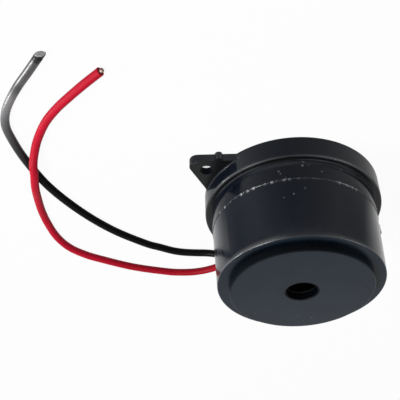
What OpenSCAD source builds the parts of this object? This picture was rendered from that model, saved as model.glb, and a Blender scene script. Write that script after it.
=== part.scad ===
// Round piezo buzzer with two fixing ears and two lead wires.
// The back face lies on z = 0, the sound hole looks along +Z, the ears lie along X
// and the leads leave the flange towards +Y. All sizes are in millimetres.

/* [Housing heights] */
// Height of the wide flange at the back
flange_h = 4.6; // [4.4:0.1:6]
// Height of the collar above the flange, up to the seam
collar_h = 4.3; // [3:0.1:6]
// Height of the front case from the seam to its shoulder
case_h = 12.2; // [11:0.1:16]
// Height of the raised boss on the front
boss_h = 1.4; // [0.8:0.1:2.5]
// Thickness of the base's floor
floor_t = 1.6; // [1.2:0.1:2.2]
// Thickness of the front wall round the sound hole
front_wall = 1.7; // [1:0.1:2.4]

/* [Housing walls] */
// Wall of the front case at its spigot
case_wall = 1.1; // [0.8:0.1:1.6]
// Wall of the base's collar
collar_wall = 1; // [0.9:0.05:1.8]
// How far the flange stands out past the collar
flange_lip = 1.3; // [0.6:0.05:2]
// How far the case steps in from the collar at the seam
seam_step = 0.1; // [0.05:0.05:0.5]
// How much the case tapers in on each side from the seam to the shoulder
case_draft = 0.45; // [0:0.05:0.6]
// Width of the flat shoulder round the boss
shoulder_w = 2.2; // [1.2:0.05:2.6]
// Diameter of the sound hole
sound_hole_d = 5.8; // [3:0.1:9]
// Width of the ledge that carries the board
board_ledge = 1.2; // [0.8:0.1:1.6]

/* [Edges] */
// Rounding of the case's shoulder edge
shoulder_round = 0.2; // [0.1:0.05:0.9]
// Rounding of the boss's front edge
boss_round = 0.15; // [0.1:0.05:0.6]
// Rounding of the flange's front edge
flange_round = 0.2; // [0.1:0.05:0.5]
// Bevel on the seam edges, the back edge and the mouth of the sound hole
bevel = 0.1; // [0.05:0.05:0.25]

/* [Fixing ears] */
// Distance of each screw hole past the edge of the flange
ear_hole_out = 2.6; // [2.2:0.05:5]
// Diameter of the screw holes
ear_hole_d = 2.5; // [2:0.1:3.2]
// How far each ear reaches past the edge of the flange
ear_reach = 6.1; // [5.6:0.1:9]
// Rounding of the ear's tip
ear_tip_r = 1.6; // [1:0.1:2.4]
// Angle between each side of the ear and its middle line
ear_taper = 32; // [20:0.2:40]
// Thickness of the ears
ear_t = 1.7; // [1.2:0.1:2.4]
// Fillet between the ears and the flange
ear_fillet = 0.3; // [0.1:0.05:0.6]
// Width of the gate stub left on one ear by the moulding
gate_w = 1.6; // [0.8:0.1:2.4]
// How far the gate stub stands out
gate_out = 0.7; // [0.3:0.1:1.2]

/* [Sounder] */
// Diameter of the brass plate
plate_d = 27; // [25:0.1:35]
// Thickness of the brass plate
plate_t = 0.25; // [0.15:0.05:0.5]
// Diameter of the ceramic disc as a share of the plate's
ceramic_share = 0.74; // [0.6:0.01:0.76]
// Thickness of the ceramic disc
ceramic_t = 0.25; // [0.15:0.05:0.5]
// Depth of the chamber between the plate and the front wall
chamber_depth = 3.6; // [2:0.1:4]
// Width of the seat under the plate's rim
plate_seat_w = 1.1; // [0.6:0.1:1.6]
// How far the glue laps over the plate's rim
glue_lap = 0.5; // [0.3:0.1:0.9]
// Diameter of the fine wires to the plate
fine_wire_d = 0.7; // [0.5:0.05:0.9]

/* [Circuit board] */
// Thickness of the board
board_t = 1.2; // [0.8:0.1:1.6]
// Free height under the board
under_board = 2.4; // [2.2:0.1:3]
// Diameter of the inductor's flanges
inductor_d = 7.6; // [6:0.1:8.4]
// Height of the inductor
inductor_h = 8.5; // [6:0.1:9]
// Width of the transistor's body
transistor_w = 4.6; // [4:0.1:5]
// Diameter of the resistors' ends
resistor_d = 2; // [1.5:0.1:2.4]
// Length of the resistors' bodies
resistor_l = 3.8; // [3:0.1:5]
// Diameter of the diode's body
diode_d = 2.5; // [1.8:0.1:2.8]
// Length of the diode's body
diode_l = 4.8; // [4:0.1:6]

/* [Leads] */
// Outer diameter of the insulated leads
lead_d = 1.6; // [1.2:0.05:1.9]
// Diameter of the leads' bare conductor
lead_core_d = 0.9; // [0.5:0.05:1]
// Distance between the two leads where they leave the base
lead_pitch = 2.4; // [2.2:0.1:3.4]
// Bare length at the end of the red lead
red_bare = 0.6; // [0.4:0.1:6]
// Bare length at the end of the black lead
black_bare = 1.4; // [0.4:0.1:6]

/* [Clearances] */
// Radial play between the case's spigot and the collar
fit_clear = 0.1; // [0.05:0.05:0.2]
// Radial room round the brass plate, filled by the glue
plate_gap = 0.4; // [0.2:0.05:0.6]
// Radial play of the board in the base
board_gap = 0.2; // [0.1:0.05:0.4]
// Play between the spigot's end and the board
clamp_gap = 0.1; // [0.05:0.05:0.3]
// Radial play of the leads in the base and of the wires and legs in the board
hole_clear = 0.1; // [0.05:0.05:0.15]
// Room between lying component bodies and the board
body_gap = 0.1; // [0.05:0.05:0.3]

/* [Hidden] */
$fn = 96;
small_sides = 32;

// Radii, built outwards from the brass plate
plate_r = plate_d / 2;
ceramic_r = plate_r * ceramic_share;
case_inner_r = plate_r + plate_gap;
spigot_r = case_inner_r + case_wall;
pocket_r = spigot_r + fit_clear;
collar_r = pocket_r + collar_wall;
flange_r = collar_r + flange_lip;
cavity_r = pocket_r - board_ledge;
board_r = pocket_r - board_gap;
case_seam_r = collar_r - seam_step;
case_top_r = case_seam_r - case_draft;
boss_r = case_top_r - shoulder_w;
chamber_r = plate_r - plate_seat_w;
hole_r = sound_hole_d / 2;

// Levels, built upwards from the back face
board_z = floor_t + under_board;
board_top = board_z + board_t;
spigot_z = board_top + clamp_gap;
seam_z = flange_h + collar_h;
shoulder_z = seam_z + case_h;
top_z = shoulder_z + boss_h;
chamber_z = top_z - front_wall;
seat_z = chamber_z - chamber_depth;
plate_z = seat_z - plate_t;
ceramic_z = plate_z - ceramic_t;

// Fixing ears: the side lines touch the round tip and run back into the flange
ear_hole_x = flange_r + ear_hole_out;
ear_tip_x = flange_r + ear_reach - ear_tip_r;
ear_root_x = flange_r - flange_lip - collar_wall;
ear_touch = [ear_tip_x + ear_tip_r * sin(ear_taper), ear_tip_r * cos(ear_taper)];
ear_root_w = ear_touch.y + (ear_touch.x - ear_root_x) * tan(ear_taper);
// The gate stub sits on the ear's side line, level with the screw hole
gate_x = ear_hole_x - ear_hole_d / 4;
gate_y = ear_touch.y + (ear_touch.x - gate_x) * tan(ear_taper);
gate_half = gate_w / 2;
gate_tip = 0.3 * gate_half;
gate_brow = [0.72 * gate_half, 0.65 * gate_out];
gate_root = 0.3;

// Leads: where their cores turn up into the board, and how they leave the base
lead_r = lead_d / 2;
lead_z = floor_t + 2 * hole_clear + lead_r;
lead_hole_r = lead_r + hole_clear;
lead_x = lead_pitch / 2;
core_y = 0.62 * board_r;
core_bare = 1;
tail_end_y = core_y + core_bare;
straight_out = 2;
exit_lift = lead_z - lead_r;

// Routes of the free leads: x, y and the lift above lying flat
red_route = [
    [-lead_x, flange_r, exit_lift], [-lead_x, flange_r + straight_out / 2, exit_lift],
    [-lead_x, flange_r + straight_out, exit_lift],
    [-1.2, 22.5, 1.3], [-0.6, 26.5, 0.4], [0.5, 29.8, 0],
    [3, 32.8, 0], [6.1, 34.9, 0], [9.5, 36.3, 0], [16.8, 38.2, 0], [24.5, 38.9, 0], [28.4, 38.9, 0],
    [32.4, 38, 0], [36.1, 35.7, 0], [39.4, 32.3, 0], [42.2, 28.6, 0.1], [44.6, 24.3, 0.7], [46.6, 20, 1.65],
    [48.1, 16.3, 1.9], [49.1, 14.3, 1.5], [49.8, 12.2, 0.6], [50.5, 8.8, 0], [50.85, 4, 0], [50.4, -0.2, 0],
    [49.5, -4.1, 0], [48.5, -7.8, 0], [47.3, -11.7, 0]];
black_route = [
    [lead_x, flange_r, exit_lift], [lead_x, flange_r + straight_out / 2, exit_lift],
    [lead_x, flange_r + straight_out, exit_lift],
    [2, 22.2, 1.2], [4.6, 24.6, 0.2], [7.7, 26.5, 0],
    [11.1, 27.8, 0], [14.9, 28.2, 0], [18.8, 28.4, 0], [26.9, 27.4, 0], [35.4, 24.7, 0], [43.9, 20.4, 0],
    [50.7, 15, 0], [55, 10.5, 0], [56.8, 7.9, 0], [57.7, 5.1, 0], [58, 2, 0], [57.9, -2, 0],
    [57.5, -5.8, 0], [57.15, -9.6, 0]];
tube_sides = 8;
ring_gap = 3;

// Components and their places, as shares of the board's radius from its centre
inductor_at = board_r * [-0.34, 0.07];
inductor_pin_r = 0.3;
inductor_pin_out = 2.2;
inductor_flange_t = 1.2;
inductor_post_share = 0.45;
winding_inset = 0.5;
transistor_at = board_r * [0.37, 0.3];
transistor_h = 4.6;
transistor_stand = 2.2;
transistor_flat = 1.3;
transistor_leg_r = 0.22;
transistor_leg_pitch = 1.27;
resistor_at = [board_r * [0.3, -0.17], board_r * [0.3, -0.42]];
resistor_leg_pitch = 7;
resistor_leg_r = 0.25;
resistor_waist = 0.85;
diode_at = board_r * [-0.27, -0.51];
diode_leg_pitch = 9;
diode_leg_r = 0.35;
// Lying bodies: shares of the length where the thick ends stop and the waist begins
axial_cap = 0.2;
axial_neck = 0.3;
drive_hole = board_r * [0.66, 0.07];
feedback_hole = board_r * [-0.3, 0.56];
ground_hole = board_r * [-0.72, -0.18];

// Places on the rear of the disc, as shares of the ceramic's radius
drive_point = ceramic_r * [0.52, 0.05];
feedback_point = ceramic_r * [-0.3, 0.7];
ground_point_r = (ceramic_r + plate_r - glue_lap) / 2;
ground_point_angle = 195;
ground_point = ground_point_r * [cos(ground_point_angle), sin(ground_point_angle)];

// Solder points: truncated cones on the disc, under the board and round the lead ends
disc_solder_r = 0.7;
leg_solder_r = 0.58;
lead_solder_r = 0.85;
solder_h = 0.5;
solder_tip_share = 0.6;

// Fine wires: the straight length at each end, and how near the middle stays to the hole's side
wire_straight = 1.6;
wire_hold = 0.75;
wire_side = [0.6, 0.8, 0];

// Points along a round corner of radius r about c, from angle a0 to a1
function corner(c, r, a0, a1, steps = 5) =
    [for (i = [0 : steps]) c + r * [cos(a0 + (a1 - a0) * i / steps), sin(a0 + (a1 - a0) * i / steps)]];

// Point at share t between p[i] and p[i + 1] on a smooth curve through all points
function curve_point(p, i, t) =
    let (b = p[i], c = p[i + 1],
         a = i > 0 ? p[i - 1] : 2 * b - c,
         d = i + 2 < len(p) ? p[i + 2] : 2 * c - b)
    0.5 * (2 * b + (c - a) * t + (2 * a - 5 * b + 4 * c - d) * t * t + (3 * b - a - 3 * c + d) * t * t * t);

// The curve's points, no further apart than ring_gap diameters
function curve(p, d) = concat(
    [for (i = [0 : len(p) - 2], steps = ceil(norm(p[i + 1] - p[i]) / (ring_gap * d)), k = [0 : steps - 1])
        curve_point(p, i, k / steps)],
    [p[len(p) - 1]]);

function unit(v) = v / norm(v);

// Direction of a list of points at its point i
function heading(p, i) = unit(p[min(i + 1, len(p) - 1)] - p[max(i - 1, 0)]);

// Route points laid at the leads' own height, never below it
function laid(p) = [for (q = p) [q.x, q.y, lead_r + max(q.z, 0)]];

// Tube of diameter d along points p; side is any direction across the whole tube
module tube(p, d, side) {
    n = len(p);
    rings = [for (i = [0 : n - 1])
        let (t = heading(p, i), u = unit(side - (side * t) * t), v = cross(t, u))
        for (k = [0 : tube_sides - 1])
            let (a = 360 * k / tube_sides)
            p[i] + d / 2 * (cos(a) * u + sin(a) * v)];
    walls = [for (i = [0 : n - 2], k = [0 : tube_sides - 1])
        let (a = i * tube_sides + k, b = i * tube_sides + (k + 1) % tube_sides)
        each [[a, a + tube_sides, b], [b, a + tube_sides, b + tube_sides]]];
    start = [[for (k = [0 : tube_sides - 1]) k]];
    end = [[for (k = [tube_sides - 1 : -1 : 0]) (n - 1) * tube_sides + k]];
    polyhedron(points = rings, faces = concat(walls, start, end));
}

// Cylinder from point a to point b
module rod(a, b, r) {
    d = b - a;
    translate(a)
        rotate([0, acos(d.z / norm(d)), atan2(d.y, d.x)])
            cylinder(h = norm(d), r = r);
}

module front_case() {
    profile = concat(
        [[case_inner_r, spigot_z], [spigot_r - bevel, spigot_z], [spigot_r, spigot_z + bevel],
         [spigot_r, seam_z], [case_seam_r - bevel, seam_z], [case_seam_r, seam_z + bevel]],
        corner([case_top_r - shoulder_round, shoulder_z - shoulder_round], shoulder_round, 0, 90),
        [[boss_r, shoulder_z]],
        corner([boss_r - boss_round, top_z - boss_round], boss_round, 0, 90),
        [[hole_r + bevel, top_z], [hole_r, top_z - bevel], [hole_r, chamber_z],
         [chamber_r, chamber_z], [chamber_r, seat_z], [case_inner_r, seat_z]]);
    color([0.13, 0.14, 0.16])
        rotate_extrude()
            polygon(profile);
}

module ear_outline() {
    difference() {
        union() {
            polygon([[ear_root_x, -ear_root_w], [ear_touch.x, -ear_touch.y],
                     [ear_touch.x, ear_touch.y], [ear_root_x, ear_root_w]]);
            translate([ear_tip_x, 0])
                circle(r = ear_tip_r);
        }
        translate([ear_hole_x, 0])
            circle(d = ear_hole_d);
    }
}

// Ear towards +X, with a fillet where it meets the flange
module ear() {
    linear_extrude(ear_t)
        ear_outline();
    intersection() {
        linear_extrude(ear_t + ear_fillet)
            ear_outline();
        rotate_extrude()
            polygon(concat(
                [[ear_root_x, ear_t / 2], [flange_r + ear_fillet, ear_t / 2]],
                corner([flange_r + ear_fillet, ear_t + ear_fillet], ear_fillet, 270, 180),
                [[ear_root_x, ear_t + ear_fillet]]));
    }
}

module gate_stub() {
    translate([gate_x, -gate_y, 0])
        rotate(180 + ear_taper)
            linear_extrude(ear_t)
                polygon([[-gate_half, -gate_root], [gate_half, -gate_root], [gate_half, 0],
                         [gate_brow.x, gate_brow.y], [gate_tip, gate_out], [-gate_tip, gate_out],
                         [-gate_brow.x, gate_brow.y], [-gate_half, 0]]);
}

module rear_base() {
    profile = concat(
        [[0, 0], [flange_r - bevel, 0], [flange_r, bevel]],
        corner([flange_r - flange_round, flange_h - flange_round], flange_round, 0, 90),
        [[collar_r, flange_h], [collar_r, seam_z - bevel], [collar_r - bevel, seam_z],
         [pocket_r, seam_z], [pocket_r, board_z], [cavity_r, board_z], [cavity_r, floor_t], [0, floor_t]]);
    color([0.13, 0.14, 0.16])
        difference() {
            union() {
                rotate_extrude()
                    polygon(profile);
                ear();
                rotate(180)
                    ear();
                gate_stub();
            }
            for (x = [-lead_x, lead_x])
                rod([x, cavity_r / 2, lead_z], [x, 2 * flange_r, lead_z], lead_hole_r);
        }
}

module piezo_plate() {
    color([0.78, 0.62, 0.25])
        translate([0, 0, plate_z])
            cylinder(h = plate_t, r = plate_r);
}

module piezo_ceramic() {
    color([0.85, 0.83, 0.76])
        translate([0, 0, ceramic_z])
            cylinder(h = ceramic_t, r = ceramic_r);
}

module plate_glue_ring() {
    color([0.9, 0.9, 0.88])
        rotate_extrude()
            polygon([[plate_r, seat_z], [plate_r, plate_z], [plate_r - glue_lap, plate_z],
                     [case_inner_r, plate_z - glue_lap - plate_gap], [case_inner_r, seat_z]]);
}

// Solder point with its wide face at the given place, narrowing along way: 1 is up, -1 is down
module solder_point(at, z, r, way) {
    translate([at.x, at.y, z])
        rotate([way < 0 ? 180 : 0, 0, 0])
            cylinder(h = solder_h, r1 = r, r2 = r * solder_tip_share, $fn = small_sides);
}

module piezo_solder() {
    color([0.75, 0.76, 0.78]) {
        solder_point(drive_point, ceramic_z, disc_solder_r, -1);
        solder_point(feedback_point, ceramic_z, disc_solder_r, -1);
        solder_point(ground_point, plate_z, disc_solder_r, -1);
    }
}

// Fine wire from a hole in the board up to a solder point under the disc
module fine_wire(hole, point, point_z) {
    top = point_z - solder_h;
    middle = wire_hold * hole + (1 - wire_hold) * point;
    route = concat(
        [for (z = [board_z, board_top, board_top + wire_straight]) [hole.x, hole.y, z]],
        [[middle.x, middle.y, (board_top + top) / 2]],
        [for (z = [top - wire_straight, top - wire_straight / 2, top]) [point.x, point.y, z]]);
    tube(curve(route, fine_wire_d), fine_wire_d, wire_side);
}

module drive_wire() {
    color([0.75, 0.1, 0.1])
        fine_wire(drive_hole, drive_point, ceramic_z);
}

module feedback_wire() {
    color([0.1, 0.25, 0.7])
        fine_wire(feedback_hole, feedback_point, ceramic_z);
}

module ground_wire() {
    color([0.1, 0.1, 0.1])
        fine_wire(ground_hole, ground_point, plate_z);
}

// Where each kind of leg passes through the board
inductor_pins_at = [for (a = [90, 210, 330]) inductor_at + inductor_pin_out * [cos(a), sin(a)]];
transistor_legs_at = [for (k = [-1, 0, 1]) transistor_at + [k * transistor_leg_pitch, 0]];
resistor_legs_at = [for (at = resistor_at, s = [-1, 1]) at + [s * resistor_leg_pitch / 2, 0]];
diode_legs_at = [for (s = [-1, 1]) diode_at + [s * diode_leg_pitch / 2, 0]];
wire_holes = [drive_hole, feedback_hole, ground_hole];
lead_holes = [[-lead_x, core_y], [lead_x, core_y]];

// Cutters through the board for legs or wires of radius r
module board_holes(places, r) {
    for (at = places)
        translate([at.x, at.y, board_z - board_t])
            cylinder(h = 3 * board_t, r = r + hole_clear, $fn = small_sides);
}

module circuit_board() {
    color([0.72, 0.6, 0.36])
        difference() {
            translate([0, 0, board_z])
                cylinder(h = board_t, r = board_r);
            board_holes(inductor_pins_at, inductor_pin_r);
            board_holes(transistor_legs_at, transistor_leg_r);
            board_holes(resistor_legs_at, resistor_leg_r);
            board_holes(diode_legs_at, diode_leg_r);
            board_holes(wire_holes, fine_wire_d / 2);
            board_holes(lead_holes, lead_core_d / 2);
        }
}

module board_solder() {
    color([0.75, 0.76, 0.78]) {
        for (at = concat(inductor_pins_at, transistor_legs_at, resistor_legs_at, diode_legs_at, wire_holes))
            solder_point(at, board_z, leg_solder_r, -1);
        for (at = lead_holes)
            solder_point(at, board_top, lead_solder_r, 1);
    }
}

module leg(at, r, top) {
    translate([at.x, at.y, board_z])
        cylinder(h = top - board_z, r = r, $fn = small_sides);
}

module inductor_core() {
    post_r = inductor_d / 2 * inductor_post_share;
    color([0.2, 0.2, 0.21])
        translate([inductor_at.x, inductor_at.y, board_top])
            rotate_extrude()
                polygon([[0, 0], [inductor_d / 2, 0], [inductor_d / 2, inductor_flange_t],
                         [post_r, inductor_flange_t], [post_r, inductor_h - inductor_flange_t],
                         [inductor_d / 2, inductor_h - inductor_flange_t], [inductor_d / 2, inductor_h],
                         [0, inductor_h]]);
}

module inductor_winding() {
    color([0.7, 0.36, 0.16])
        translate([inductor_at.x, inductor_at.y, board_top])
            rotate_extrude()
                polygon([[inductor_d / 2 * inductor_post_share, inductor_flange_t],
                         [inductor_d / 2 - winding_inset, inductor_flange_t],
                         [inductor_d / 2 - winding_inset, inductor_h - inductor_flange_t],
                         [inductor_d / 2 * inductor_post_share, inductor_h - inductor_flange_t]]);
}

module inductor_pins() {
    color([0.75, 0.76, 0.78])
        for (at = inductor_pins_at)
            leg(at, inductor_pin_r, board_top);
}

module transistor() {
    color([0.12, 0.12, 0.13])
        translate([transistor_at.x, transistor_at.y, board_top + transistor_stand])
            intersection() {
                cylinder(h = transistor_h, d = transistor_w);
                translate([-transistor_w, -transistor_flat, 0])
                    cube([2 * transistor_w, 2 * transistor_w, transistor_h]);
            }
}

module transistor_legs() {
    color([0.75, 0.76, 0.78])
        for (at = transistor_legs_at)
            leg(at, transistor_leg_r, board_top + transistor_stand);
}

// Height of a lying component's middle line above the back face
function axial_z(d) = board_top + body_gap + d / 2;

// Lying round body along X, with a waist narrower than its ends
module axial_body(at, d, l, waist) {
    cap = axial_cap * l;
    neck = axial_neck * l;
    translate([at.x - l / 2, at.y, axial_z(d)])
        rotate([0, 90, 0])
            rotate_extrude()
                polygon([[0, 0], [d / 2, 0], [d / 2, cap], [d / 2 * waist, neck],
                         [d / 2 * waist, l - neck], [d / 2, l - cap], [d / 2, l], [0, l]]);
}

// The two bent legs of a lying component
module axial_legs(at, d, l, pitch, r) {
    for (s = [-1, 1]) {
        bend = [at.x + s * pitch / 2, at.y, axial_z(d)];
        rod([at.x + s * l / 2, at.y, axial_z(d)], bend, r, $fn = small_sides);
        translate(bend)
            sphere(r = r, $fn = small_sides);
        leg(bend, r, axial_z(d));
    }
}

module resistors() {
    color([0.80, 0.68, 0.48])
        for (at = resistor_at)
            axial_body(at, resistor_d, resistor_l, resistor_waist);
}

module resistor_legs() {
    color([0.75, 0.76, 0.78])
        for (at = resistor_at)
            axial_legs(at, resistor_d, resistor_l, resistor_leg_pitch, resistor_leg_r);
}

module diode() {
    color([0.12, 0.12, 0.13])
        axial_body(diode_at, diode_d, diode_l, 1);
}

module diode_legs() {
    color([0.75, 0.76, 0.78])
        axial_legs(diode_at, diode_d, diode_l, diode_leg_pitch, diode_leg_r);
}

// Free stretch of a lead along its route
module lead(route) {
    tube(laid(curve(route, lead_d)), lead_d, [0, 0, 1]);
}

// Stretch of a lead inside the base
module lead_tail(x) {
    rod([x, tail_end_y, lead_z], [x, flange_r, lead_z], lead_r);
}

// Bare conductor past the end of a lead
module lead_tip(route, bare) {
    p = laid(curve(route, lead_d));
    end = len(p) - 1;
    rod(p[end], p[end] + bare * heading(p, end), lead_core_d / 2, $fn = small_sides);
}

module red_lead() {
    color([0.8, 0.12, 0.18])
        lead(red_route);
}

module red_lead_tail() {
    color([0.8, 0.12, 0.18])
        lead_tail(-lead_x);
}

module red_lead_tip() {
    color([0.75, 0.76, 0.78])
        lead_tip(red_route, red_bare);
}

module black_lead() {
    color([0.12, 0.12, 0.13])
        lead(black_route);
}

module black_lead_tail() {
    color([0.12, 0.12, 0.13])
        lead_tail(lead_x);
}

module black_lead_tip() {
    color([0.75, 0.76, 0.78])
        lead_tip(black_route, black_bare);
}

module lead_cores() {
    color([0.75, 0.76, 0.78])
        for (at = lead_holes) {
            rod([at.x, tail_end_y, lead_z], [at.x, at.y, lead_z], lead_core_d / 2, $fn = small_sides);
            translate([at.x, at.y, lead_z])
                sphere(d = lead_core_d, $fn = small_sides);
            rod([at.x, at.y, lead_z], [at.x, at.y, board_top], lead_core_d / 2, $fn = small_sides);
        }
}

front_case();
rear_base();
piezo_plate();
piezo_ceramic();
plate_glue_ring();
piezo_solder();
drive_wire();
feedback_wire();
ground_wire();
circuit_board();
board_solder();
transistor();
transistor_legs();
inductor_core();
inductor_winding();
inductor_pins();
resistors();
resistor_legs();
diode();
diode_legs();
red_lead();
red_lead_tail();
red_lead_tip();
black_lead();
black_lead_tail();
black_lead_tip();
lead_cores();
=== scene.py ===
import math
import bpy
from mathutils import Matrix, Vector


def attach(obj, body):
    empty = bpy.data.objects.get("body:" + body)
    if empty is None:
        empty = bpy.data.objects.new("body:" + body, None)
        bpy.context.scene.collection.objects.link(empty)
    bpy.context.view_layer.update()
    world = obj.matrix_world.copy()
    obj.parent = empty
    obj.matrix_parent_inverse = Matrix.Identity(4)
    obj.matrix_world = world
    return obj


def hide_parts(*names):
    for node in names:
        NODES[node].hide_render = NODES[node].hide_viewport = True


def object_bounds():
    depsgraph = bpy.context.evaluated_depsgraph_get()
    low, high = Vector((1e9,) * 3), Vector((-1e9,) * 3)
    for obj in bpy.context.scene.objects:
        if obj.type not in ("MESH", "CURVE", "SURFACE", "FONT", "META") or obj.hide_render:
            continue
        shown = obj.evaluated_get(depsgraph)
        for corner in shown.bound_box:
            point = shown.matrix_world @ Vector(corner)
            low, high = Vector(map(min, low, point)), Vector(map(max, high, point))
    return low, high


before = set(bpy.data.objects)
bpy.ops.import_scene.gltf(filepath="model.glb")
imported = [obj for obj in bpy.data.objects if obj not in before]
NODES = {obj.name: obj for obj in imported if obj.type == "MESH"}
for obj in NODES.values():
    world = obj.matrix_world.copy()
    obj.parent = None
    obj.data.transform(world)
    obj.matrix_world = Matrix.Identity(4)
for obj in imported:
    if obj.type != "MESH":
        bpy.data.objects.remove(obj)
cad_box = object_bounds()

from types import SimpleNamespace

import bpy
from mathutils import Matrix, Vector

MM = 0.001

# Camera, solved from the photograph: the part stands on its back and the picture is upside down
CAMERA_AT = Vector((73.237, -85.493, 88.898)) * MM
CAMERA_RIGHT = Vector((-0.86093, -0.50856, 0.01295))
CAMERA_UP = Vector((0.30768, -0.54081, -0.78285))
CAMERA_LENS = 63.0
CAMERA_SENSOR = 36.0
CAMERA_CLIP = (0.005, 10.0)


def make_camera():
    data = bpy.data.cameras.new("camera")
    data.sensor_width = CAMERA_SENSOR
    data.lens = CAMERA_LENS
    data.clip_start, data.clip_end = CAMERA_CLIP
    camera = bpy.data.objects.new("camera", data)
    right = CAMERA_RIGHT.normalized()
    up = (CAMERA_UP - right * CAMERA_UP.dot(right)).normalized()
    back = right.cross(up)
    turn = Matrix((right, up, back)).transposed().to_4x4()
    camera.matrix_world = Matrix.Translation(CAMERA_AT) @ turn
    bpy.context.scene.collection.objects.link(camera)
    bpy.context.scene.camera = camera


# Leads
# Sizes and routes are those of the part's source, in millimetres. A route gives x, y and the lift above
# lying flat.
LEAD_D = 1.6
CORE_D = 0.9
LEAD_X = 1.2
FLANGE_R = 17.4
STRAIGHT_OUT = 2.0
EXIT_LIFT = 1.8
RED_BARE = 0.6
BLACK_BARE = 1.4
RED_ROUTE = [
    (-LEAD_X, FLANGE_R, EXIT_LIFT), (-LEAD_X, FLANGE_R + STRAIGHT_OUT / 2, EXIT_LIFT),
    (-LEAD_X, FLANGE_R + STRAIGHT_OUT, EXIT_LIFT),
    (-1.2, 22.5, 1.3), (-0.6, 26.5, 0.4), (0.5, 29.8, 0),
    (3, 32.8, 0), (6.1, 34.9, 0), (9.5, 36.3, 0), (16.8, 38.2, 0), (24.5, 38.9, 0), (28.4, 38.9, 0),
    (32.4, 38, 0), (36.1, 35.7, 0), (39.4, 32.3, 0), (42.2, 28.6, 0.1), (44.6, 24.3, 0.7), (46.6, 20, 1.65),
    (48.1, 16.3, 1.9), (49.1, 14.3, 1.5), (49.8, 12.2, 0.6), (50.5, 8.8, 0), (50.85, 4, 0), (50.4, -0.2, 0),
    (49.5, -4.1, 0), (48.5, -7.8, 0), (47.3, -11.7, 0)]
BLACK_ROUTE = [
    (LEAD_X, FLANGE_R, EXIT_LIFT), (LEAD_X, FLANGE_R + STRAIGHT_OUT / 2, EXIT_LIFT),
    (LEAD_X, FLANGE_R + STRAIGHT_OUT, EXIT_LIFT),
    (2, 22.2, 1.2), (4.6, 24.6, 0.2), (7.7, 26.5, 0),
    (11.1, 27.8, 0), (14.9, 28.2, 0), (18.8, 28.4, 0), (26.9, 27.4, 0), (35.4, 24.7, 0), (43.9, 20.4, 0),
    (50.7, 15, 0), (55, 10.5, 0), (56.8, 7.9, 0), (57.7, 5.1, 0), (58, 2, 0), (57.9, -2, 0),
    (57.5, -5.8, 0), (57.15, -9.6, 0)]
LEAD_STEP = 0.25
LEAD_SIDES = 40
SMOOTHING_PASSES = 6
# Waver of a sheath's radius: its share of the radius, and two rates in radians per millimetre
WAVER = 0.006
WAVER_RATES = (0.9, 0.37)
# Sheath's cut end: steps along the lead in millimetres, and radii as shares of the sheath's
CUT_END = [(-0.06, 1.0), (-0.02, 0.985), (0.0, 0.93), (0.0, 0.72), (-0.05, 0.62), (-0.12, 0.57)]
# Bare end: steps along it as shares of its length, and radii as shares of the core's
TWISTED_END = [
    (-0.35, 0.92), (0.0, 0.94), (0.2, 0.97), (0.4, 0.95), (0.6, 0.96), (0.78, 0.92), (0.9, 0.82),
    (0.97, 0.62), (1.0, 0.3)]
SNIPPED_END = [
    (-0.12, 1.1), (-0.02, 1.6), (0.03, 1.75), (0.25, 1.76), (0.42, 1.75), (0.5, 1.71), (0.53, 1.6),
    (0.55, 1.2), (0.57, 0.7), (0.58, 0.3)]
# Slant of the snip, and the share of the bare end's length from which it is full
SNIP_SLANT = (-0.7, 0, 0)
FULL_SLANT_FROM = 0.5
# Grooves between the strands: depth as a share of the radius, power of their shape, and turn in radians
STRANDS = 7
GROOVE_DEPTH = 0.07
GROOVE_POWER = 0.7
GROOVE_TURN = 1.1
TIP_SIDES = 56


def lead_line(route):
    """Centre line of a lead in metres: a smooth curve through the route, never below lying flat."""
    p = [Vector(q) for q in route]
    line = []
    for i in range(len(p) - 1):
        b, c = p[i], p[i + 1]
        a = p[i - 1] if i > 0 else 2 * b - c
        d = p[i + 2] if i + 2 < len(p) else 2 * c - b
        steps = max(2, math.ceil((c - b).length / LEAD_STEP))
        for k in range(steps):
            t = k / steps
            line.append(0.5 * (2 * b + (c - a) * t + (2 * a - 5 * b + 4 * c - d) * t ** 2
                               + (3 * b - a - 3 * c + d) * t ** 3))
    line.append(p[-1])
    heights = [max(q.z, 0.0) for q in line]
    for _ in range(SMOOTHING_PASSES):
        heights = [heights[0]] + [(heights[i - 1] + 2 * heights[i] + heights[i + 1]) / 4
                                  for i in range(1, len(heights) - 1)] + [heights[-1]]
    return [Vector((q.x, q.y, h + LEAD_D / 2)) * MM for q, h in zip(line, heights)]


def headings(line):
    last = len(line) - 1
    return [(line[min(i + 1, last)] - line[max(i - 1, 0)]).normalized() for i in range(last + 1)]


def strand_share(angle):
    """Radius of a bundle of strands at an angle round it, as a share of the full radius."""
    return 1 - GROOVE_DEPTH * abs(math.sin(STRANDS * angle / 2)) ** GROOVE_POWER


def ring(centre, along, radius, sides, strand_turn=None):
    """Points round a centre, square to a direction, with the first one upwards. With a strand turn,
    they follow a bundle of strands turned by that angle."""
    up = Vector((0, 0, 1))
    u = (up - along * up.dot(along)).normalized()
    v = along.cross(u)
    points = []
    for k in range(sides):
        a = 2 * math.pi * k / sides
        r = radius if strand_turn is None else radius * strand_share(a + strand_turn)
        points.append(centre + r * (math.cos(a) * u + math.sin(a) * v))
    return points


def inside(points):
    """Points moved into the CAD model's box where they are past it."""
    low, high = cad_box
    return [Vector(min(max(c, a), b) for c, a, b in zip(p, low, high)) for p in points]


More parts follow.
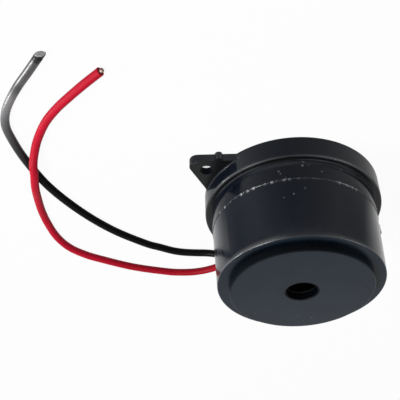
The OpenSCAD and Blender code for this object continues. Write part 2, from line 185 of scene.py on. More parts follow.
def skin(name, rings):
    """Mesh object over a list of rings with the same number of points, closed at both ends."""
    sides = len(rings[0])
    faces = []
    for i in range(len(rings) - 1):
        for k in range(sides):
            here, beside = i * sides + k, i * sides + (k + 1) % sides
            faces.append((here, beside, beside + sides, here + sides))
    faces.append(tuple(reversed(range(sides))))
    faces.append(tuple(range((len(rings) - 1) * sides, len(rings) * sides)))
    mesh = bpy.data.meshes.new(name)
    mesh.from_pydata([tuple(p) for points in rings for p in points], [], faces)
    mesh.update()
    for polygon in mesh.polygons:
        polygon.use_smooth = len(polygon.vertices) == 4
    piece = bpy.data.objects.new(name, mesh)
    bpy.context.scene.collection.objects.link(piece)
    return piece


def make_lead(name, route, waver_phase):
    """Sheath of a lead, and its centre line."""
    line = lead_line(route)
    along = headings(line)
    radius = LEAD_D / 2 * MM
    fast, slow = WAVER_RATES
    rings = [ring(line[0], along[0], radius, LEAD_SIDES)]
    for i in range(1, len(line) - 1):
        s = i * LEAD_STEP
        waver = math.sin(fast * s + waver_phase) * math.sin(slow * s + 2 * waver_phase)
        rings.append(ring(line[i], along[i], radius * (1 - WAVER * (1 + waver)), LEAD_SIDES))
    for step, share in CUT_END:
        rings.append(ring(line[-1] + along[-1] * step * MM, along[-1], radius * share, LEAD_SIDES))
    return skin(name, [inside(points) for points in rings]), line


def make_tip(name, line, bare, outline, slant=(0, 0, 0)):
    """End of a lead past its sheath, within an outline round the lead's centre line. With a slant it is
    snipped askew: each point moves along the lead by its offset towards the slant."""
    along = headings(line)[-1]
    rings = []
    for share, size in outline:
        centre = line[-1] + along * share * bare * MM
        lean = Vector(slant) * min(max(share / FULL_SLANT_FROM, 0.0), 1.0)
        points = ring(centre, along, CORE_D / 2 * MM * size, TIP_SIDES, GROOVE_TURN * share)
        rings.append([p + along * lean.dot(p - centre) for p in points])
    return skin(name, rings)


make_camera()
red_lead, red_line = make_lead("red_lead_sheath", RED_ROUTE, waver_phase=0.4)
black_lead, black_line = make_lead("black_lead_sheath", BLACK_ROUTE, waver_phase=1.9)
red_tip = make_tip("red_lead_strands", red_line, RED_BARE, TWISTED_END)
black_tip = make_tip("black_lead_strands", black_line, BLACK_BARE, SNIPPED_END, SNIP_SLANT)
for lead, line, tip, nodes, slot in (
        (red_lead, red_line, red_tip, ("red_lead", "red_lead_tip"), "red_insulation"),
        (black_lead, black_line, black_tip, ("black_lead", "black_lead_tip"), "black_insulation")):
    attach(lead, "root")
    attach(tip, "root")
    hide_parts(nodes[0])
    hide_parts(nodes[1])


# Nodes of materials
NOISE_RANGE = (0.3, 0.7)
SPOT_CORE = 0.4
STROKE_CORE = 0.2


def grey(v):
    return (v, v, v, 1.0)


def new_material(name):
    material = bpy.data.materials.new(name)
    material.use_nodes = True
    return material, material.node_tree, material.node_tree.nodes["Principled BSDF"]


def add(tree, kind, inputs=None, **settings):
    """New node; an input is a value, or the output socket that it is linked from."""
    node = tree.nodes.new(kind)
    for key, value in settings.items():
        setattr(node, key, value)
    for key, value in (inputs or {}).items():
        if isinstance(value, bpy.types.NodeSocket):
            tree.links.new(value, node.inputs[key])
        else:
            node.inputs[key].default_value = value
    return node


def feed(tree, bsdf, inputs):
    """Links sockets to a shader's inputs."""
    for key, value in inputs.items():
        tree.links.new(value, bsdf.inputs[key])


def object_place(tree):
    return add(tree, "ShaderNodeTexCoord").outputs["Object"]


def remap(tree, value, low, high, to_low, to_high):
    node = add(tree, "ShaderNodeMapRange", {"Value": value, "From Min": low, "From Max": high,
                                            "To Min": to_low, "To Max": to_high})
    return node.outputs["Result"]


def between(tree, share, low, high):
    """Value that goes from low to high as a share goes from 0 to 1."""
    return remap(tree, share, 0.0, 1.0, low, high)


def spread(tree, value, low=0.0, high=1.0):
    """Noise's usual range, spread from low to high."""
    return remap(tree, value, *NOISE_RANGE, low, high)


def maths(tree, operation, a, b=0.0):
    return add(tree, "ShaderNodeMath", {0: a, 1: b}, operation=operation).outputs[0]


def product(tree, value, *others):
    for other in others:
        value = maths(tree, "MULTIPLY", value, other)
    return value


def largest(tree, value, *others):
    for other in others:
        value = maths(tree, "MAXIMUM", value, other)
    return value


def measure(tree, operation, a, b=(0, 0, 0)):
    """Number from vectors: a length, a distance or a dot product."""
    return add(tree, "ShaderNodeVectorMath", {0: a, 1: b}, operation=operation).outputs["Value"]


def blend(tree, share, a, b):
    """Colour between a and b."""
    return add(tree, "ShaderNodeMix", {0: share, 6: a, 7: b}, data_type="RGBA").outputs[2]


def noise(tree, where, size, detail=2.0, rough=0.5):
    """Noise with features of about the given size in millimetres."""
    node = add(tree, "ShaderNodeTexNoise", {"Vector": where, "Scale": 1 / (size * MM), "Detail": detail,
                                            "Roughness": rough})
    return node.outputs["Fac"]


def cells(tree, where, size):
    """Node of scattered cells of about the given size in millimetres."""
    return add(tree, "ShaderNodeTexVoronoi", {"Vector": where, "Scale": 1 / (size * MM)})


def ramp(tree, share, stops):
    """Value that follows a list of stops, each a place from 0 to 1 and the value there."""
    node = add(tree, "ShaderNodeValToRGB", {0: share})
    elements = node.color_ramp.elements
    for k, (place, value) in enumerate(stops):
        stop = elements[k] if k < 2 else elements.new(place)
        stop.position = place
        stop.color = grey(value)
    return node.outputs["Color"]


def banded(tree, value, stops):
    """Strength that follows a measure: each stop is a value in millimetres and the strength there."""
    low, high = stops[0][0], stops[-1][0]
    return ramp(tree, remap(tree, value, low * MM, high * MM, 0.0, 1.0),
                [((at - low) / (high - low), strength) for at, strength in stops])


def bumped(tree, bsdf, height, depth, strength):
    node = add(tree, "ShaderNodeBump", {"Height": height, "Distance": depth * MM, "Strength": strength})
    feed(tree, bsdf, {"Normal": node.outputs["Normal"]})


def spot(tree, where, place, size):
    """1 at a place and out to a core round it, falling to 0 at the given radius in millimetres."""
    gap = measure(tree, "DISTANCE", where, tuple(c * MM for c in place))
    return remap(tree, gap, size * SPOT_CORE * MM, size * MM, 1.0, 0.0)


def stroke(tree, where, start, end, width):
    """1 along a line between two places and out to a core beside it, falling to 0 at half the given width
    in millimetres."""
    start, end = Vector(start) * MM, Vector(end) * MM
    way = end - start
    past = add(tree, "ShaderNodeVectorMath", {0: where, 1: start}, operation="SUBTRACT").outputs[0]
    share = between(tree, measure(tree, "DOT_PRODUCT", past, way / way.length_squared), 0.0, 1.0)
    foot = add(tree, "ShaderNodeVectorMath", {0: way, "Scale": share}, operation="SCALE").outputs[0]
    gap = measure(tree, "DISTANCE", past, foot)
    return remap(tree, gap, width * STROKE_CORE * MM, width / 2 * MM, 1.0, 0.0)


# Housing
# A stop is a strength at a height or a distance from the axis, in millimetres, or at a share of the way
# round from -X. A surface counts as a top by the Z of its normal.
TOP_FACING = (0.75, 0.98)
CLOUD_SIZE = 5.0
GRAIN_SIZE = 0.16
SMEAR_SIZE = 1.6
SMEAR_ROUGH = 0.05
MARK_ROUGH = 0.3
RELIEF_DEPTH = 0.006
RELIEF_STRENGTH = 0.12
# Dust: small spots in some cells of a pattern, and on each piece spots with a place and a size in
# millimetres and a strength
DUST_COLOUR = (0.20, 0.21, 0.22, 1)
SPECK_CELL = 1.5
SPECK_SHARES = (0.05, 0.09)
SPECK_STRENGTH = 0.7
CHANCE_STEP = 0.02
BASE_DUST = [
    ((11.65, -11.12, 6.74), 0.26, 0.5), ((11.44, -11.32, 7.38), 0.22, 0.4),
    ((10.83, -11.91, 8.6), 0.22, 0.4), ((8.06, -13.94, 5.03), 0.36, 0.35),
    ((8.25, -13.83, 5.92), 0.27, 0.9), ((7.26, -14.37, 5.71), 0.25, 0.3),
    ((5.12, -15.26, 7.06), 0.27, 0.4), ((1.05, -16.07, 5.53), 0.3, 0.4)]
CASE_DUST = [
    ((9.88, -12.44, 12.14), 0.24, 0.55), ((11.17, -11.26, 12.64), 0.2, 0.3),
    ((8.16, -13.67, 10.99), 0.3, 0.25)]
# Scratches on the base: both ends and the width in millimetres, and strength. Smears break them up.
SMEAR_BREAKS = (0.35, 0.6)
WEAKEST_BREAK = 0.4
BASE_SCRATCHES = [
    ((23.42, -0.2, 1.68), (22.9, -1.25, 1.38), 0.22, 0.45),
    ((23.2, -0.2, 1.7), (22.7, -1.1, 1.7), 0.16, 0.3),
    ((19.9, -3.7, 1.25), (19.3, -4.1, 1.3), 0.5, 0.3)]
# Painted light and shade in bands: colour, heights, way round and distances from the axis. They are a
# painted sheen at the foot of the collar, painted light on the ledge beside it, painted highlights on the
# flange's lip and below the case's front rim and, dark, painted shade on the shoulder round the boss.
EVERY_R = [(0.0, 1.0), (30.0, 1.0)]
# Painted sheen, paler, on the foot of the collar where it mirrors the ledge
FOOT_PAINTED_SHEEN = (
    (0.044, 0.049, 0.056, 1), [(4.6, 0.0), (4.8, 1.0), (5.4, 1.0), (5.8, 0.0)],
    [(0.0, 0.0), (0.15, 0.0), (0.19, 1.0), (0.3, 0.9), (0.36, 0.8), (0.42, 0.6), (0.46, 0.0), (1.0, 0.0)],
    EVERY_R)
# Painted light on the ledge beside the collar
LEDGE_PAINTED_LIGHT = (
    (0.040, 0.042, 0.046, 1), [(4.4, 0.0), (4.5, 1.0), (4.62, 1.0), (4.66, 0.0)],
    [(0.0, 0.0), (0.15, 0.3), (0.19, 1.0), (0.3, 1.0), (0.35, 0.15), (0.4, 0.3), (0.43, 0.9), (0.5, 0.9),
     (0.54, 0.0), (1.0, 0.0)],
    [(16.0, 1.0), (16.3, 1.0), (16.5, 0.0)])
# Painted highlight along the flange's lip
LIP_PAINTED_HIGHLIGHT = (
    (0.058, 0.061, 0.065, 1), [(3.9, 0.0), (4.25, 0.3), (4.5, 1.0), (4.7, 1.0)],
    [(0.0, 0.3), (0.17, 0.9), (0.21, 1.0), (0.29, 0.8), (0.33, 0.3), (0.36, 0.1), (0.4, 0.4), (0.435, 0.8),
     (0.5, 1.0), (0.53, 0.5), (0.6, 0.2), (1.0, 0.3)],
    [(16.95, 0.0), (17.15, 1.0), (17.6, 1.0)])
# Painted highlight along the rounded edge below the case's front rim
RIM_PAINTED_HIGHLIGHT = (
    (0.115, 0.120, 0.125, 1), [(20.0, 0.0), (20.45, 0.25), (20.75, 0.65), (20.98, 1.0), (21.08, 0.0)],
    [(0.0, 0.2), (0.17, 0.3), (0.24, 0.6), (0.28, 0.6), (0.33, 0.1), (0.37, 0.1), (0.4, 0.8), (0.44, 1.0),
     (0.5, 1.0), (0.54, 0.3), (1.0, 0.2)],
    EVERY_R)
# Painted shade, dark, on the shoulder round the boss
SHOULDER_PAINTED_SHADE = (
    (0.0010, 0.0021, 0.0038, 1), [(20.9, 1.0), (21.15, 1.0), (21.25, 0.0)],
    [(0.0, 0.6), (0.2, 0.7), (0.28, 1.0), (0.45, 1.0), (0.52, 0.6), (0.58, 0.1), (0.7, 0.0), (0.9, 0.2),
     (1.0, 0.6)],
    [(13.2, 1.0), (14.2, 1.0), (15.0, 0.0)])
# Pale bits along the seam, flash crumbs with a painted highlight, as dots and crumbs: their reach from it
# and sizes in millimetres, and strengths
SEAM_Z = 8.9
SEAM_REACH = (0.12, 0.34)
SEAM_COLOUR = (0.34, 0.35, 0.36, 1)
SEAM_DOT_CELL = 0.9
SEAM_DOT_SHARES = (0.2, 0.42)
SEAM_CRUMB_SIZE = 0.42
SEAM_CRUMB_RANGE = (0.5, 0.7)
SEAM_CRUMB_STRENGTH = 0.5
# Strength round the way: painted highlight where the seam's edge catches light
SEAM_HIGHLIGHT_WAY = [
    (0.0, 0.3), (0.18, 0.3), (0.21, 0.6), (0.29, 0.55), (0.32, 0.3), (0.345, 0.1), (0.38, 0.4), (0.41, 0.8),
    (0.44, 1.0), (0.49, 1.0), (0.51, 0.5), (0.53, 0.1), (0.62, 0.3), (0.8, 0.15), (1.0, 0.3)]
# Boss on the front: its outer edge and wall are duller part of the way round, and darker there as painted
# shade, and so are the wall and edge of the sound hole and the back of the front wall round it, painted
# shade in the hollow
EDGE_SHINE = 0.05
BOSS_EDGE_SHADE = (0.0034, 0.0048, 0.0066, 1)
BOSS_EDGE = [(13.0, 0.0), (13.1, 1.0)]
BOSS_HEIGHTS = [(21.15, 0.0), (21.25, 1.0)]
BOSS_EDGE_WAY = [
    (0.0, 0.0), (0.17, 0.0), (0.2, 0.4), (0.25, 0.7), (0.31, 1.0), (0.55, 1.0), (0.59, 0.3), (0.61, 0.0),
    (1.0, 0.0)]
SOUND_HOLE_SHADE = (0.0010, 0.0018, 0.0032, 1)
HOLE_EDGE = [(3.15, 1.0), (3.25, 0.0)]
HOLE_HEIGHTS = [(18.0, 0.0), (18.1, 1.0)]
HOLE_BACK = [(5.0, 1.0), (5.1, 0.0)]
BACK_HEIGHTS = [(18.0, 0.0), (18.1, 1.0), (21.2, 1.0), (21.3, 0.0)]


def housing_surface(tree):
    """Sockets that the housing's materials go by, such as the distance from the axis and the way round."""
    coords = add(tree, "ShaderNodeTexCoord")
    where = coords.outputs["Object"]
    x, y, height = add(tree, "ShaderNodeSeparateXYZ", {0: where}).outputs
    flat = add(tree, "ShaderNodeCombineXYZ", {0: x, 1: y}).outputs[0]
    return SimpleNamespace(
        where=where, flat=flat, height=height, out=measure(tree, "LENGTH", flat),
        way_round=remap(tree, maths(tree, "ARCTAN2", y, x), -math.pi, math.pi, 0.0, 1.0),
        facing_up=add(tree, "ShaderNodeSeparateXYZ", {0: coords.outputs["Normal"]}).outputs["Z"])


def front_edges(tree, at):
    """Shares of the boss's edge, of its duller part with painted shade, and of the sound hole's edge and
    the back round it, both with painted shade.
    """
    boss = product(tree, banded(tree, at.out, BOSS_EDGE), banded(tree, at.height, BOSS_HEIGHTS))
    dull_shaded_boss = product(tree, boss, ramp(tree, at.way_round, BOSS_EDGE_WAY))
    edge = product(tree, banded(tree, at.out, HOLE_EDGE), banded(tree, at.height, HOLE_HEIGHTS))
    back = product(tree, banded(tree, at.out, HOLE_BACK), banded(tree, at.height, BACK_HEIGHTS))
    return boss, dull_shaded_boss, largest(tree, edge, back)


def dusty(tree, at, smear, specks, dust, scratches):
    """Share of dust and scratches; specks is the share of cells that hold a spot."""
    scattered = cells(tree, at.where, SPECK_CELL)
    dot = remap(tree, scattered.outputs["Distance"], *SPECK_SHARES, 1.0, 0.0)
    chance = add(tree, "ShaderNodeSeparateColor", {0: scattered.outputs["Color"]}).outputs[0]
    held = remap(tree, chance, 1 - specks, 1 - specks + CHANCE_STEP, 0.0, SPECK_STRENGTH)
    pale = product(tree, dot, held)
    for place, size, strength in dust:
        pale = largest(tree, pale, product(tree, spot(tree, at.where, place, size), strength))
    for start, end, width, strength in scratches:
        breaks = remap(tree, smear, *SMEAR_BREAKS, WEAKEST_BREAK, 1.0)
        mark = product(tree, stroke(tree, at.where, start, end, width), strength, breaks)
        pale = largest(tree, pale, mark)
    return pale


def seam_bits(tree, at):
    """Share of pale bits along the seam, in stretches that follow a painted highlight on its edge."""
    off_seam = maths(tree, "ABSOLUTE", maths(tree, "SUBTRACT", at.height, SEAM_Z * MM))
    near = remap(tree, off_seam, *(reach * MM for reach in SEAM_REACH), 1.0, 0.0)
    dots = remap(tree, cells(tree, at.flat, SEAM_DOT_CELL).outputs["Distance"], *SEAM_DOT_SHARES, 1.0, 0.0)
    crumbs = noise(tree, at.where, SEAM_CRUMB_SIZE, detail=4.0, rough=0.7)
    crumbs = remap(tree, crumbs, *SEAM_CRUMB_RANGE, 0.0, SEAM_CRUMB_STRENGTH)
    return product(tree, near, largest(tree, dots, crumbs), ramp(tree, at.way_round, SEAM_HIGHLIGHT_WAY))


def moulded_black(name, walls, tops, rough, specular, specks, dust, scratches=(), painted_light_and_shade=()):
    """Black moulded plastic: glossy walls, finely textured tops, dust, scratches and pale bits along the
    seam, whose strength round the way is painted highlight. Walls and tops are pairs of colours, whose
    difference is painted light and shade; bands of painted light and shade, and painted shade on the boss's
    edge and in the sound hole, go over them. Rough and specular give the level on walls and on tops."""
    material, tree, bsdf = new_material(name)
    at = housing_surface(tree)
    boss, dull_shaded_boss, hole = front_edges(tree, at)
    edge = largest(tree, dull_shaded_boss, hole)
    top = largest(tree, remap(tree, at.facing_up, *TOP_FACING, 0.0, 1.0), boss)
    cloud = spread(tree, noise(tree, at.where, CLOUD_SIZE, detail=3.0))
    grain = noise(tree, at.where, GRAIN_SIZE, detail=3.0, rough=0.6)
    smear = noise(tree, at.where, SMEAR_SIZE, detail=4.0, rough=0.65)
    colour = blend(tree, top, blend(tree, cloud, *walls), blend(tree, cloud, *tops))
    # Painted shade on part of the boss's edge and in the sound hole
    colour = blend(tree, dull_shaded_boss, colour, BOSS_EDGE_SHADE)
    colour = blend(tree, hole, colour, SOUND_HOLE_SHADE)
    # Bands of painted highlight, sheen, light and shade
    for painted_colour, heights, way_round, radii in painted_light_and_shade:
        share = product(tree, banded(tree, at.height, heights), banded(tree, at.out, radii),
                        ramp(tree, at.way_round, way_round))
        colour = blend(tree, share, colour, painted_colour)
    pale = dusty(tree, at, smear, specks, dust, scratches)
    colour = blend(tree, pale, colour, DUST_COLOUR)
    seam = seam_bits(tree, at)
    colour = blend(tree, seam, colour, SEAM_COLOUR)
    pale = largest(tree, pale, seam)
    level = maths(tree, "ADD", between(tree, top, *rough), spread(tree, smear, -SMEAR_ROUGH, SMEAR_ROUGH))
    level = maths(tree, "ADD", level, product(tree, largest(tree, pale, edge), MARK_ROUGH))
    shine = between(tree, edge, between(tree, top, *specular), EDGE_SHINE)
    feed(tree, bsdf, {"Base Color": colour, "Roughness": level, "Specular IOR Level": shine})
    relief = add(tree, "ShaderNodeMix", {0: top, 2: smear, 3: grain}).outputs[0]
    bumped(tree, bsdf, maths(tree, "ADD", relief, pale), RELIEF_DEPTH, RELIEF_STRENGTH)
    return material


# Other materials
# A lead's painted light and shade is the colour that it fades to, the axis and the two places on it, in
# millimetres, that the fade runs between, and stops of how far it goes: painted shade on the red lead near
# the body, painted light on the black lead's far stretch. Along the same stretch the black lead has stops
# of its specular level.
# Red lead: painted shade, darker towards the body
RED_PAINTED_SHADE = ((0.32, 0.003, 0.014, 1), "X", 4.0, 30.0, [(0.0, 1.0), (0.5, 0.8), (1.0, 0.0)])
# Black lead: painted light, paler grey along its far stretch
BLACK_PAINTED_LIGHT = (
    (0.14, 0.14, 0.145, 1), "Y", 17.0, -10.0,
    [(0.0, 0.0), (0.2, 0.22), (0.42, 0.8), (0.58, 0.9), (0.72, 0.25), (0.85, 0.06), (1.0, 0.06)])
BLACK_SHINE = [
    (0.0, 0.05), (0.4, 0.15), (0.5, 0.6), (0.61, 0.65), (0.66, 0.2), (0.7, 0.2), (0.76, 0.85), (0.94, 0.85),
    (0.96, 0.2), (1.0, 0.15)]
# Vinyl: sizes of its mottling in millimetres, and how far its roughness goes either way
VINYL_CLOUD = 4.0
VINYL_SMEAR = 1.2
VINYL_GRAIN = 0.5
VINYL_ROUGH = 0.06
# Metals and matt solids: clouds as a multiple of the marks or grain, and how far roughness goes each way
METAL_CLOUD = 4
METAL_ROUGH = (-0.08, 0.1)
MATT_CLOUD = 6
MATT_ROUGH = 0.06
MATT_SHINE = 0.4
# Black lead's cut end: the way that it faces, how squarely, the greys of its strands and of its side
SNIP_FACE = (0.5, -0.8, 0.1)
SNIP_FACING = (0.45, 0.75)
SNIP_GRAIN = 0.2
SNIP_GREYS = (0.26, 0.46)
SNIP_SIDE = 0.006


def sheath(name, dark, light, rough, specular, lead_light_and_shade=None, shine=None):
    """Soft vinyl insulation with slightly uneven colour and gloss; painted light and shade along it, and a
    shine, are as above.
    """
    material, tree, bsdf = new_material(name)
    where = object_place(tree)
    colour = blend(tree, spread(tree, noise(tree, where, VINYL_CLOUD, detail=3.0)), dark, light)
    bsdf.inputs["Specular IOR Level"].default_value = specular
    if lead_light_and_shade is not None:
        # Painted light and shade along the lead
        painted_lead_colour, axis, start, end, stops = lead_light_and_shade
        place = add(tree, "ShaderNodeSeparateXYZ", {0: where}).outputs[axis]
        along = remap(tree, place, start * MM, end * MM, 0.0, 1.0)
        colour = blend(tree, ramp(tree, along, stops), colour, painted_lead_colour)
        if shine is not None:
            feed(tree, bsdf, {"Specular IOR Level": ramp(tree, along, shine)})
    smear = noise(tree, where, VINYL_SMEAR, detail=4.0, rough=0.6)
    level = spread(tree, smear, rough - VINYL_ROUGH, rough + VINYL_ROUGH)
    feed(tree, bsdf, {"Base Color": colour, "Roughness": level})
    bumped(tree, bsdf, noise(tree, where, VINYL_GRAIN), depth=0.002, strength=0.12)
    return material


def metal(name, dark, light, rough, mark_size):
    """Metal with uneven tone and gloss and fine surface marks."""
    material, tree, bsdf = new_material(name)
    where = object_place(tree)
    cloud = noise(tree, where, mark_size * METAL_CLOUD, detail=3.0)
    fine = noise(tree, where, mark_size, detail=4.0, rough=0.6)
    feed(tree, bsdf, {"Base Color": blend(tree, spread(tree, cloud), dark, light),
                      "Roughness": spread(tree, fine, *(rough + step for step in METAL_ROUGH))})
    bsdf.inputs["Metallic"].default_value = 1.0
    bumped(tree, bsdf, fine, depth=0.006, strength=0.5)
    return material


def matt(name, dark, light, rough, grain_size, depth):
    """Matt solid with a mottled colour and a grainy surface."""
    material, tree, bsdf = new_material(name)
    where = object_place(tree)
    cloud = noise(tree, where, grain_size * MATT_CLOUD, detail=4.0, rough=0.6)
    fine = noise(tree, where, grain_size, detail=3.0, rough=0.6)
    feed(tree, bsdf, {"Base Color": blend(tree, spread(tree, cloud), dark, light),
                      "Roughness": spread(tree, fine, rough - MATT_ROUGH, rough + MATT_ROUGH)})
    bsdf.inputs["Specular IOR Level"].default_value = MATT_SHINE
    bumped(tree, bsdf, fine, depth, strength=0.6)
    return material


def snipped(name):
    """Cut end of the black lead: pale strands on the cut, dark round the side."""
    material, tree, bsdf = new_material(name)
    coords = add(tree, "ShaderNodeTexCoord")
    cut = measure(tree, "DOT_PRODUCT", coords.outputs["Normal"], SNIP_FACE)
    cut = remap(tree, cut, *SNIP_FACING, 0.0, 1.0)
    fine = noise(tree, coords.outputs["Object"], SNIP_GRAIN, detail=3.0, rough=0.6)
    strands = blend(tree, remap(tree, fine, 0.35, 0.65, 0.0, 1.0), *map(grey, SNIP_GREYS))
    feed(tree, bsdf, {"Base Color": blend(tree, cut, grey(SNIP_SIDE), strands),
                      "Roughness": spread(tree, fine, 0.5, 0.65)})
    bsdf.inputs["Specular IOR Level"].default_value = 0.15
    bumped(tree, bsdf, fine, depth=0.02, strength=0.6)
    return material


def winding(name, dark, light, pitch):
    """Enamelled turns as fine bands up the winding, with the given pitch in millimetres."""
    material, tree, bsdf = new_material(name)
    where = object_place(tree)
    bands = add(tree, "ShaderNodeTexWave", {"Vector": where, "Scale": 1 / (pitch * MM), "Distortion": 0.4,
                                            "Detail": 1.0}, bands_direction="Z")
    turns = bands.outputs["Fac"]
    feed(tree, bsdf, {"Base Color": blend(tree, turns, dark, light),
                      "Roughness": spread(tree, noise(tree, where, size=0.5), 0.25, 0.4)})
    bsdf.inputs["Metallic"].default_value = 0.8
    bumped(tree, bsdf, turns, depth=0.05, strength=0.8)
    return material


# Walls and tops differ in colour as painted light and shade: the case's tops lighter, the base's tops
# darker
case_black = moulded_black(
    "case_black", walls=((0.0016, 0.0040, 0.0100, 1), (0.0024, 0.0056, 0.0130, 1)),
    tops=((0.0046, 0.0090, 0.0156, 1), (0.0064, 0.0118, 0.0196, 1)),
    rough=(0.16, 0.28), specular=(0.41, 0.115), specks=0.06, dust=CASE_DUST,
    painted_light_and_shade=[RIM_PAINTED_HIGHLIGHT, SHOULDER_PAINTED_SHADE])
base_black = moulded_black(
    "base_black", walls=((0.0018, 0.0036, 0.0085, 1), (0.0026, 0.0050, 0.0110, 1)),
    tops=((0.0020, 0.0023, 0.0028, 1), (0.0030, 0.0034, 0.0040, 1)),
    rough=(0.16, 0.24), specular=(0.42, 0.18), specks=0.10, dust=BASE_DUST, scratches=BASE_SCRATCHES,
    painted_light_and_shade=[FOOT_PAINTED_SHEEN, LEDGE_PAINTED_LIGHT, LIP_PAINTED_HIGHLIGHT])
tinned = metal(
    "tinned_strands", (0.30, 0.29, 0.28, 1), (0.55, 0.54, 0.52, 1), rough=0.42, mark_size=0.12)
coppery = metal(
    "coppery_strands", (0.20, 0.13, 0.10, 1), (0.42, 0.33, 0.28, 1), rough=0.45, mark_size=0.12)
red_vinyl = sheath(
    "red_vinyl", (0.37, 0.0030, 0.016, 1), (0.42, 0.0038, 0.021, 1), rough=0.50, specular=0.11,
    lead_light_and_shade=RED_PAINTED_SHADE)
black_vinyl = sheath(
    "black_vinyl", (0.0025, 0.0025, 0.0027, 1), (0.0042, 0.0042, 0.0046, 1), rough=0.30, specular=0.05,
    lead_light_and_shade=BLACK_PAINTED_LIGHT, shine=BLACK_SHINE)
inner_black = sheath(
    "inner_black_vinyl", (0.010, 0.010, 0.011, 1), (0.018, 0.018, 0.019, 1), rough=0.36, specular=0.4)
blue_vinyl = sheath(
    "blue_vinyl", (0.02, 0.05, 0.30, 1), (0.03, 0.08, 0.42, 1), rough=0.36, specular=0.4)
epoxy = matt(
    "black_epoxy", (0.012, 0.012, 0.013, 1), (0.022, 0.022, 0.024, 1),
    rough=0.5, grain_size=0.08, depth=0.01)
FINISHES = {
    "front_case": case_black,
    "rear_base": base_black,
    "piezo_plate": metal(
        "rolled_brass", (0.42, 0.27, 0.09, 1), (0.62, 0.44, 0.17, 1), rough=0.38, mark_size=0.3),
    "piezo_ceramic": matt(
        "silvered_ceramic", (0.60, 0.59, 0.56, 1), (0.74, 0.73, 0.69, 1),
        rough=0.55, grain_size=0.1, depth=0.01),
    "plate_glue_ring": matt(
        "silicone", (0.62, 0.62, 0.60, 1), (0.74, 0.74, 0.71, 1),
        rough=0.35, grain_size=0.4, depth=0.02),
    "piezo_solder": metal(
        "solder_on_disc", (0.48, 0.48, 0.50, 1), (0.66, 0.66, 0.68, 1), rough=0.22, mark_size=0.2),
    "drive_wire": red_vinyl,
    "feedback_wire": blue_vinyl,
    "ground_wire": inner_black,
    "circuit_board": matt(
        "phenolic_board", (0.34, 0.22, 0.09, 1), (0.46, 0.31, 0.13, 1),
        rough=0.6, grain_size=0.2, depth=0.01),
    "board_solder": metal(
        "solder_on_board", (0.50, 0.50, 0.52, 1), (0.68, 0.68, 0.70, 1), rough=0.2, mark_size=0.2),
    "transistor": epoxy,
    "transistor_legs": tinned,
    "inductor_core": matt(
        "ferrite", (0.028, 0.028, 0.030, 1), (0.05, 0.05, 0.053, 1),
        rough=0.65, grain_size=0.1, depth=0.015),
    "inductor_winding": winding(
        "copper_winding", (0.22, 0.07, 0.02, 1), (0.62, 0.25, 0.1, 1), pitch=0.6),
    "inductor_pins": tinned,
    "resistors": matt(
        "resistor_lacquer", (0.42, 0.28, 0.13, 1), (0.52, 0.36, 0.18, 1),
        rough=0.3, grain_size=0.3, depth=0.01),
    "resistor_legs": tinned,
    "diode": epoxy,
    "diode_legs": tinned,
    "red_lead_tail": red_vinyl,
    "black_lead_tail": inner_black,
    "lead_cores": tinned,
}


def dress(piece, material):
    piece.data.materials.clear()
    piece.data.materials.append(material)


for node_name, finish in FINISHES.items():
    dress(NODES[node_name], finish)
dress(red_lead, red_vinyl)
dress(black_lead, black_vinyl)
dress(red_tip, coppery)
dress(black_tip, snipped("snipped_end"))


# Floor and light
FLOOR_SIZE = 3.0
FLOOR_Z = -0.02 * MM
WHITE_SHARE = 0.95
FLOOR_COLOUR = 0.6
FLOOR_ROUGH = 0.9
FLOOR_SHINE = 0.1
WORLD_LEVEL = 0.18
# Floor as the part reflects it, with painted shade and light round the part: degrees round the part from
# the camera's side, and the tone there, close to the part and further out
CAMERA_WAY = (0.651, -0.759, 0.0)
CAMERA_LEFT = (0.759, 0.651, 0.0)
NEAR_TONES = [
    (-180, 0.5), (-120, 0.6), (-90, 0.5), (-45, 0.42), (-30, 0.36), (0, 0.24), (15, 0.34), (25, 0.48),
    (37, 0.7), (50, 0.6), (65, 0.5), (90, 0.6), (120, 0.7), (180, 0.5)]
FAR_TONES = [
    (-180, 0.6), (-125, 0.9), (-103, 0.72), (-97, 0.55), (-90, 0.37), (-84, 0.22), (-65, 0.3), (-48, 0.38),
    (-20, 0.28), (0, 0.22), (20, 0.32), (39, 0.5), (52, 0.4), (65, 0.27), (77, 0.28), (84, 0.5), (89, 0.68),
    (104, 0.95), (125, 0.8), (180, 0.6)]
NEAR_R = 20.5
FAR_R = 24.0
# From here outwards the floor is white in reflections too: only the leads' far stretch reflects it
WHITE_FROM_R = 49.0
WHITE_R = 53.0
# Floor under the ear's hole, which the ear shades: its tone as seen and as reflected
HOLE_AT = (20.0, 0.0, 0.0)
HOLE_SHADE_R = 2.2
HOLE_SEEN = 0.72
HOLE_REFLECTED = 0.04
# Soft boxes look at the part from this far, in metres, and at this place, in millimetres
SOFT_BOX_DISTANCE = 0.45
SOFT_BOX_AIM = (0, 0, 10)
SPOT_BLEND = 0.6


def seen_directly(tree):
    """1 for camera, glossy and transmission rays, 0 for the light that reaches surfaces."""
    path = add(tree, "ShaderNodeLightPath")
    return largest(tree, path.outputs["Is Camera Ray"], path.outputs["Is Glossy Ray"],
                   path.outputs["Is Transmission Ray"])


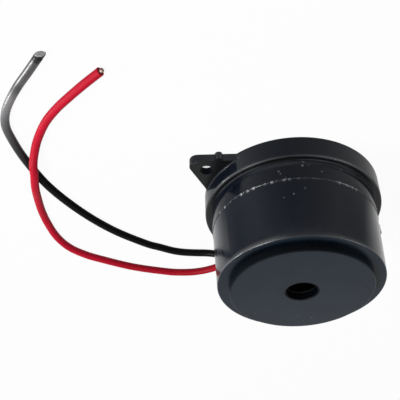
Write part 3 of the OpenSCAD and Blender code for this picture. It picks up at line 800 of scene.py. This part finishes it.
def floor_strength(tree):
    """How bright the floor is: white as seen, with painted shade and light round the part as reflected, and
    painted shade under the ear's hole.
    """
    place = add(tree, "ShaderNodeNewGeometry").outputs["Position"]
    ahead, aside = (measure(tree, "DOT_PRODUCT", place, way) for way in (CAMERA_WAY, CAMERA_LEFT))
    turn = remap(tree, maths(tree, "ARCTAN2", aside, ahead), -math.pi, math.pi, 0.0, 1.0)
    near, far = (ramp(tree, turn, [((degrees + 180) / 360, tone) for degrees, tone in tones])
                 for tones in (NEAR_TONES, FAR_TONES))
    out = measure(tree, "LENGTH", place)
    tone = remap(tree, out, NEAR_R * MM, FAR_R * MM, near, far)
    tone = remap(tree, out, WHITE_FROM_R * MM, WHITE_R * MM, tone, 1.0)
    shade = spot(tree, place, HOLE_AT, HOLE_SHADE_R)
    reflected = add(tree, "ShaderNodeLightPath").outputs["Is Glossy Ray"]
    return between(tree, reflected, between(tree, shade, 1.0, HOLE_SEEN),
                   between(tree, shade, tone, HOLE_REFLECTED))


def make_floor():
    half = FLOOR_SIZE / 2
    corners = [(x * half, y * half, FLOOR_Z) for x, y in ((-1, -1), (1, -1), (1, 1), (-1, 1))]
    mesh = bpy.data.meshes.new("floor")
    mesh.from_pydata(corners, [], [(0, 1, 2, 3)])
    floor = bpy.data.objects.new("floor", mesh)
    bpy.context.scene.collection.objects.link(floor)
    material, tree, bsdf = new_material("white_floor")
    bsdf.inputs["Base Color"].default_value = grey(FLOOR_COLOUR)
    bsdf.inputs["Roughness"].default_value = FLOOR_ROUGH
    bsdf.inputs["Specular IOR Level"].default_value = FLOOR_SHINE
    glow = add(tree, "ShaderNodeEmission", {"Color": grey(1.0), "Strength": floor_strength(tree)})
    share = product(tree, seen_directly(tree), WHITE_SHARE)
    mix = add(tree, "ShaderNodeMixShader", {0: share, 1: bsdf.outputs[0], 2: glow.outputs[0]})
    tree.links.new(mix.outputs[0], tree.nodes["Material Output"].inputs["Surface"])
    mesh.materials.append(material)


def make_world():
    world = bpy.data.worlds.new("studio")
    world.use_nodes = True
    tree = world.node_tree
    strength = add(tree, "ShaderNodeMix", {0: seen_directly(tree), 2: WORLD_LEVEL, 3: 1.0}).outputs[0]
    ground = tree.nodes["Background"]
    ground.inputs["Color"].default_value = grey(1.0)
    tree.links.new(strength, ground.inputs["Strength"])
    bpy.context.scene.world = world


def hang(name, data, azimuth, elevation, distance, aim):
    """Lamp that looks at a place on the part, in millimetres, from a direction given in degrees."""
    lamp = bpy.data.objects.new(name, data)
    a, e = math.radians(azimuth), math.radians(elevation)
    way = Vector((math.cos(e) * math.cos(a), math.cos(e) * math.sin(a), math.sin(e)))
    lamp.location = Vector(aim) * MM + way * distance
    lamp.rotation_euler = way.to_track_quat("Z", "Y").to_euler()
    bpy.context.scene.collection.objects.link(lamp)


def soft_box(name, azimuth, elevation, width, height, power):
    data = bpy.data.lights.new(name, "AREA")
    data.shape = "RECTANGLE"
    data.size = width
    data.size_y = height
    data.energy = power
    hang(name, data, azimuth, elevation, SOFT_BOX_DISTANCE, SOFT_BOX_AIM)


def spot_lamp(name, azimuth, elevation, distance, radius, power, aim, cone):
    data = bpy.data.lights.new(name, "SPOT")
    data.shadow_soft_size = radius
    data.spot_size = math.radians(cone)
    data.spot_blend = SPOT_BLEND
    data.energy = power
    hang(name, data, azimuth, elevation, distance, aim)


make_floor()
make_world()
soft_box("key", azimuth=10, elevation=57, width=0.20, height=0.20, power=2.2)
soft_box("right", azimuth=-132, elevation=35, width=0.22, height=0.10, power=0.25)
spot_lamp("window", azimuth=36, elevation=12, distance=0.10, radius=0.026, power=0.36, aim=(55, -2, 1),
          cone=38)

bpy.context.scene.view_settings.view_transform = "Standard"
